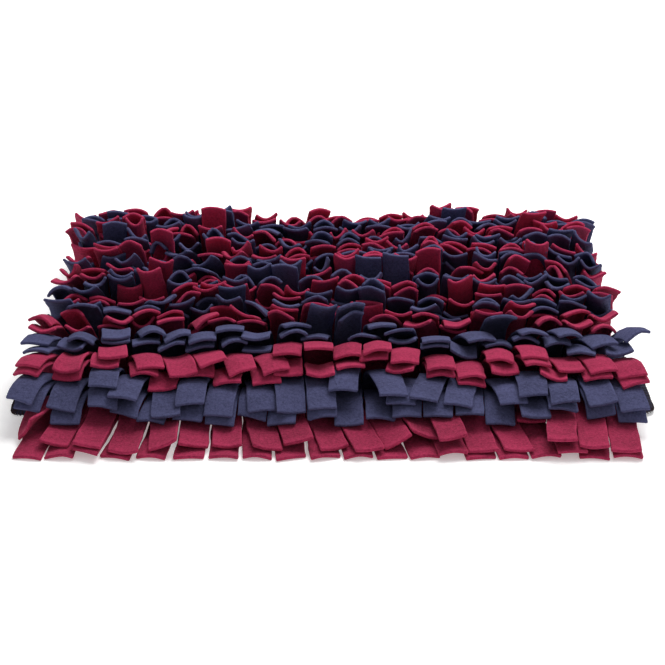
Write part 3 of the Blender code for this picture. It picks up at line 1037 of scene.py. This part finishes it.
def fleece_material(name, colour, sheen):
    """Matt napped fleece of one colour, paler on its fibres' tips and darker between them, with a painted
    highlight on its cut edges.
    """
    material, nodes, shader = principled(name)
    group = bpy.data.node_groups.get("fleece_nap") or nap_group()
    nap = nodes.add("ShaderNodeGroup", node_tree=group)
    nodes.fill(nap, {"Lit": tinted(colour, 1.4, 0.004), "Deep": tinted(colour, 0.55), "Speckle": 1.6})
    nodes.fill(shader, {
        "Base Color": nap.outputs["Colour"], "Normal": nap.outputs["Normal"],
        "Roughness": 0.95, "Specular IOR Level": 0.12,
        "Sheen Weight": sheen, "Sheen Roughness": 0.55, "Sheen Tint": tinted(colour, 1.5, 0.12)})
    return material


def base_material(colour, sizes):
    """Coarse woven cloth: threads across and along, paler towards the border, with the rows' seams on its
    underside. A point is on a seam where it is near enough to a row's middle and on a stitch."""
    material, nodes, shader = principled("base_cloth_weave")
    place = nodes.place()
    x, y, z = nodes.parts(place)
    weave = nodes.math("MULTIPLY", nodes.wave(x, WEAVE_PITCH), nodes.wave(y, WEAVE_PITCH))
    fibres = nodes.noise(place, 900, 3, 0.65)
    first = row_front(1, sizes) + sizes.strip_depth / 2
    rows = nodes.math("DIVIDE", nodes.math("SUBTRACT", y, first), sizes.row_pitch)
    part = nodes.math("FRACT", nodes.math("ADD", rows, 0.5))
    off = nodes.math("ABSOLUTE", nodes.math("SUBTRACT", part, 0.5))
    seam = nodes.math("LESS_THAN", off, SEAM_HALF_WIDTH)
    within = nodes.math("LESS_THAN", nodes.math("ABSOLUTE", x), SEAM_REACH)
    below = nodes.math("LESS_THAN", z, sizes.base_thick / 3)
    stitch = nodes.math("GREATER_THAN", nodes.wave(x, SEAM_STITCH_PITCH), -0.3)
    seam = nodes.math("MULTIPLY", nodes.math("MULTIPLY", seam, within), nodes.math("MULTIPLY", below, stitch))
    value = nodes.math("MULTIPLY_ADD", weave, 0.16, 0.4)
    value = nodes.about_middle(fibres, 0.9, value)
    value = nodes.about_middle(nodes.noise(place, 30, 2), 0.5, value)
    # Lighter towards the border.
    value = nodes.math("MULTIPLY_ADD", nodes.number("rim"), 0.15, value, clamp=True)
    cloth = nodes.mix(value, tinted(colour, 0.45), tinted(colour, 1.9))
    height = nodes.math("MULTIPLY_ADD", weave, 0.35, nodes.math("MULTIPLY", fibres, 0.5))
    height = nodes.math("MULTIPLY_ADD", seam, 0.6, height)
    nodes.fill(shader, {
        "Base Color": nodes.mix(seam, cloth, tinted(colour, 3.0, 0.01)),
        "Normal": nodes.bump(height, 0.8, 0.0006), "Roughness": 0.9, "Specular IOR Level": 0.2})
    return material


def thread_material(colour):
    """Dull sewing thread, its shade changing a little from stitch to stitch."""
    material, nodes, shader = principled("edge_thread")
    fibres = nodes.noise(nodes.place(), 1500, 2, 0.6)
    value = nodes.math("MULTIPLY_ADD", nodes.number("tone"), 0.2, fibres, clamp=True)
    nodes.fill(shader, {
        "Base Color": nodes.mix(value, tinted(colour, 0.4), tinted(colour, 1.8)),
        "Normal": nodes.bump(fibres, 0.6, 0.0003), "Roughness": 0.8, "Specular IOR Level": 0.25})
    return material


def floor_material(colour):
    """Plain pale studio paper that gives off a little light."""
    material, nodes, shader = principled("studio_paper")
    clouds = nodes.noise(nodes.place(), 3, 2)
    nodes.fill(shader, {
        "Base Color": nodes.mix(clouds, tinted(colour, 0.99), tinted(colour, 1.0)),
        "Roughness": 0.9, "Specular IOR Level": 0.1,
        "Emission Color": WHITE, "Emission Strength": FLOOR_GLOW})
    return material


def add_light(name, place, target, size, power):
    """A square soft light at a place, turned to its target."""
    lamp = bpy.data.lights.new(name, "AREA")
    lamp.energy = power
    lamp.size = size
    light = new_object(name, lamp)
    light.location = place
    towards = np.subtract(target, place)
    level = math.hypot(towards[0], towards[1])
    light.rotation_euler = (math.atan2(level, -towards[2]), 0, math.atan2(towards[1], towards[0]) - math.pi / 2)
    return light


class MAT_OT_base_cloth(bpy.types.Operator):
    """Make the base cloth"""

    bl_idname = "mat.base_cloth"
    bl_label = "Base cloth"

    def execute(self, context):
        """Replaces the base's solid."""
        sizes = context.scene.mat_sizes
        make_base(base_material(context.scene.mat_colours.base, sizes), sizes)
        return {"FINISHED"}


class MAT_OT_edge_stitching(bpy.types.Operator):
    """Bind the border of the base cloth with thread"""

    bl_idname = "mat.edge_stitching"
    bl_label = "Edge stitching"

    def execute(self, context):
        """Sews the stitches over the base's border."""
        make_stitching(thread_material(context.scene.mat_colours.thread), context.scene.mat_sizes)
        return {"FINISHED"}


class MAT_OT_fleece_bands(bpy.types.Operator):
    """Lay the fleece bands from the front row to the rear one"""

    bl_idname = "mat.fleece_bands"
    bl_label = "Fleece bands"

    def execute(self, context):
        """Lays each row's lower tabs, then its upper tabs, on the tabs before them, and makes a piece a row."""
        sizes = context.scene.mat_sizes
        colours = context.scene.mat_colours
        cloths = {"maroon": fleece_material("maroon_nap", colours.maroon, 0.25),
                  "navy": fleece_material("navy_nap", colours.navy, 0.12)}
        dice = random.Random(SEED)
        noise = np.random.default_rng(SEED)
        pile = Pile(dice, noise, sizes)
        for row, (cloth, *_) in enumerate(ROWS, 1):
            poses = []
            for upper in (False, True):
                columns = list(range(COLUMNS))
                if row > 1:
                    dice.shuffle(columns)
                placed = {column: lay_tab(row, column, upper, dice, noise, pile, sizes) for column in columns}
                poses += [placed[column] for column in sorted(placed)]
            make_band(row, poses, pile.row_shifts[row - 1], cloths[cloth], sizes, noise)
        if pile.stuck > MOST_STUCK:
            raise RuntimeError(f"{pile.stuck} tabs found no free place")
        return {"FINISHED"}


class MAT_OT_stage(bpy.types.Operator):
    """Set the floor, the lights and the camera"""

    bl_idname = "mat.stage"
    bl_label = "Stage"

    def execute(self, context):
        """A pale floor under soft light, seen from the front and above."""
        scene = context.scene
        stage = scene.mat_stage
        mesh = bpy.data.meshes.new("floor")
        corners = [(x * FLOOR_REACH, y * FLOOR_REACH, 0) for x, y in ((-1, -1), (1, -1), (1, 1), (-1, 1))]
        mesh.from_pydata(corners, [], [(0, 1, 2, 3)])
        mesh.materials.append(floor_material(stage.floor))
        floor = new_object("floor", mesh)
        floor.location.z = -FLOOR_DROP
        lights = {name: add_light(name, *setting) for name, setting in LIGHTS.items()}
        lights["backdrop"].data.spread = math.radians(BACKDROP_SPREAD)
        world = bpy.data.worlds.new("studio")
        world.use_nodes = True
        nodes = Nodes(world.node_tree)
        nodes.fill(nodes.tree.nodes["Background"], {"Color": WHITE, "Strength": SURROUNDINGS})
        scene.world = world
        scene.view_settings.view_transform = "Standard"
        camera = new_object("camera", bpy.data.cameras.new("camera"))
        camera.data.sensor_width = 36
        camera.data.lens = stage.lens
        camera.location = (0, -scene.mat_sizes.base_depth / 2 - stage.camera_back, stage.camera_height)
        camera.rotation_euler = (math.pi / 2 - stage.camera_tilt, 0, 0)
        scene.camera = camera
        return {"FINISHED"}


class MAT_PT_panel(bpy.types.Panel):
    """Lists the mat's steps and settings"""

    bl_label = "Snuffle mat"
    bl_idname = "MAT_PT_panel"
    bl_space_type = "VIEW_3D"
    bl_region_type = "UI"
    bl_category = "Mat"

    def draw(self, context):
        """Shows a button for each step, then the sizes and colours."""
        for step in STEPS:
            self.layout.operator(step.bl_idname)
        for group in (context.scene.mat_sizes, context.scene.mat_colours, context.scene.mat_stage):
            for key in group.__annotations__:
                self.layout.prop(group, key)


STEPS = (MAT_OT_base_cloth, MAT_OT_edge_stitching, MAT_OT_fleece_bands, MAT_OT_stage)
GROUPS = {"mat_sizes": MatSizes, "mat_colours": MatColours, "mat_stage": MatStage}


def register():
    """Registers the classes and puts the settings on the scene."""
    for kind in (*GROUPS.values(), *STEPS, MAT_PT_panel):
        bpy.utils.register_class(kind)
    for name, kind in GROUPS.items():
        setattr(bpy.types.Scene, name, bpy.props.PointerProperty(type=kind))


def unregister():
    """Takes the settings and the classes away again."""
    for name in GROUPS:
        delattr(bpy.types.Scene, name)
    for kind in (MAT_PT_panel, *reversed(STEPS), *reversed(list(GROUPS.values()))):
        bpy.utils.unregister_class(kind)


def main():
    register()
    bpy.ops.mat.base_cloth()
    bpy.ops.mat.edge_stitching()
    bpy.ops.mat.fleece_bands()
    bpy.ops.mat.stage()


if __name__ == "__main__":
    main()
